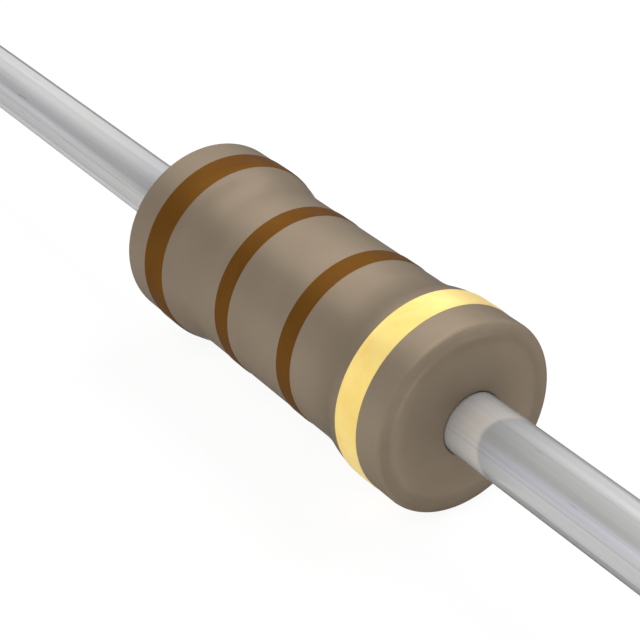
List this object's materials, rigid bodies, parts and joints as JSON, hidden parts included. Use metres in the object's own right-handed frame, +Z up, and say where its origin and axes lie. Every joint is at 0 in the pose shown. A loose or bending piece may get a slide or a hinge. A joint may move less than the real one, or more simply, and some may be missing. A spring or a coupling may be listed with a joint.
{
  "type": "axial resistor",
  "caption": "Through-hole axial resistor: waisted coated body with colour bands for its value, and a straight tinned wire lead from each end.",
  "frame": {"origin": "middle of the body, on the axis of the leads", "axes": "+X along the leads towards the tolerance band's end, +Z up; the part lies on its side"},
  "size_m": [0.0618, 0.0026, 0.0026],
  "materials": {
    "ceramic": "matte",
    "carbon": "satin",
    "cap_steel": "satin",
    "tinned_wire": "satin",
    "taupe_coating": "satin",
    "brown_paint": "satin",
    "gold_paint": "satin"
  },
  "bodies": {
    "root": {"ceramic_core": "ceramic", "carbon_film": "carbon", "end_cap_left": "cap_steel", "end_cap_right": "cap_steel", "lead_left": "tinned_wire", "lead_right": "tinned_wire", "coating": "taupe_coating", "band_first": "brown_paint", "band_second": "brown_paint", "band_multiplier": "brown_paint", "band_tolerance": "gold_paint"}
  },
  "joints": []
}
